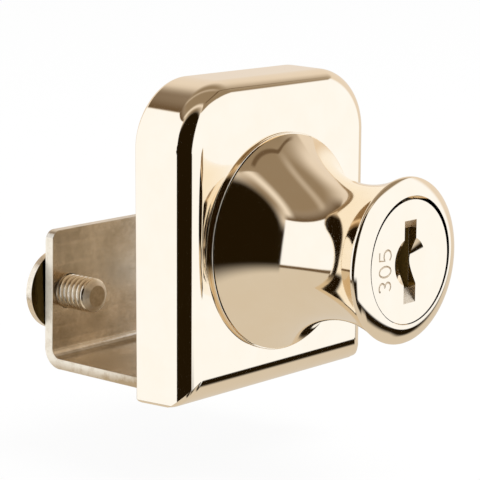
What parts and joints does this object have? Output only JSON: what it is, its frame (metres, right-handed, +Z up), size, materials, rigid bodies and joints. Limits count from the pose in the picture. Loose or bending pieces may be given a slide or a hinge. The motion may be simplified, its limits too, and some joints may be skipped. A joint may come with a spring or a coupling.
{
  "type": "glass cabinet door lock",
  "caption": "Clamp-on glass door lock: arched plate housing with a flared pull knob and key plug, a bolt that drops from its bottom edge, and a bent bracket with clamp screws.",
  "frame": {"origin": "where the knob's axis meets the plane that bears on the glass", "axes": "+Y towards the back, through the glass; +X to the right seen from the front; +Z up"},
  "size_m": [0.0336, 0.0442, 0.036],
  "materials": {
    "plated_gold": "polished pale gold plating",
    "satin_gold": "satin pale gold plating on steel",
    "zinc_steel": "zinc plated",
    "wafer_brass": "stamped",
    "spring_steel": "bright wire"
  },
  "bodies": {
    "lock_body": {"housing": "plated_gold", "knob": "plated_gold", "knob_screws": "zinc_steel", "bracket": "satin_gold", "bracket_screws": "zinc_steel"},
    "key_plug": {"plug": "plated_gold", "drive_crank": "zinc_steel", "crank_screw": "zinc_steel", "wafer_spring_1": "spring_steel", "wafer_spring_2": "spring_steel", "wafer_spring_3": "spring_steel", "wafer_spring_4": "spring_steel", "wafer_spring_5": "spring_steel"},
    "bolt": {"deadbolt": "zinc_steel"},
    "left_clamp": {"clamp_screw_left": "satin_gold"},
    "right_clamp": {"clamp_screw_right": "satin_gold"},
    "wafer_1_body": {"wafer_1": "wafer_brass"},
    "wafer_2_body": {"wafer_2": "wafer_brass"},
    "wafer_3_body": {"wafer_3": "wafer_brass"},
    "wafer_4_body": {"wafer_4": "wafer_brass"},
    "wafer_5_body": {"wafer_5": "wafer_brass"}
  },
  "joints": [
    {"name": "plug_turn", "type": "hinge", "parent": "lock_body", "child": "key_plug", "pos_m": [0, 0, 0], "axis": [0, 1, 0], "range_deg": [0, 90]},
    {"name": "bolt_slide", "type": "slide", "parent": "lock_body", "child": "bolt", "axis": [0, 0, -1], "range_m": [0, 0.007]},
    {"name": "left_clamp_slide", "type": "slide", "parent": "lock_body", "child": "left_clamp", "axis": [0, 1, 0], "range_m": [0, 0.0045]},
    {"name": "right_clamp_slide", "type": "slide", "parent": "lock_body", "child": "right_clamp", "axis": [0, 1, 0], "range_m": [0, 0.0045]},
    {"name": "wafer_1_slide", "type": "slide", "parent": "key_plug", "child": "wafer_1_body", "axis": [0, 0, 1], "range_m": [-0.0008, 0], "deforming": ["wafer_spring_1"]},
    {"name": "wafer_2_slide", "type": "slide", "parent": "key_plug", "child": "wafer_2_body", "axis": [0, 0, 1], "range_m": [-0.0008, 0], "deforming": ["wafer_spring_2"]},
    {"name": "wafer_3_slide", "type": "slide", "parent": "key_plug", "child": "wafer_3_body", "axis": [0, 0, 1], "range_m": [-0.0008, 0], "deforming": ["wafer_spring_3"]},
    {"name": "wafer_4_slide", "type": "slide", "parent": "key_plug", "child": "wafer_4_body", "axis": [0, 0, 1], "range_m": [-0.0008, 0], "deforming": ["wafer_spring_4"]},
    {"name": "wafer_5_slide", "type": "slide", "parent": "key_plug", "child": "wafer_5_body", "axis": [0, 0, 1], "range_m": [-0.0008, 0], "deforming": ["wafer_spring_5"]}
  ],
  "couplings": [
    {"joint": "plug_turn", "follows": "bolt_slide", "rad_per_m": 224.39}
  ]
}
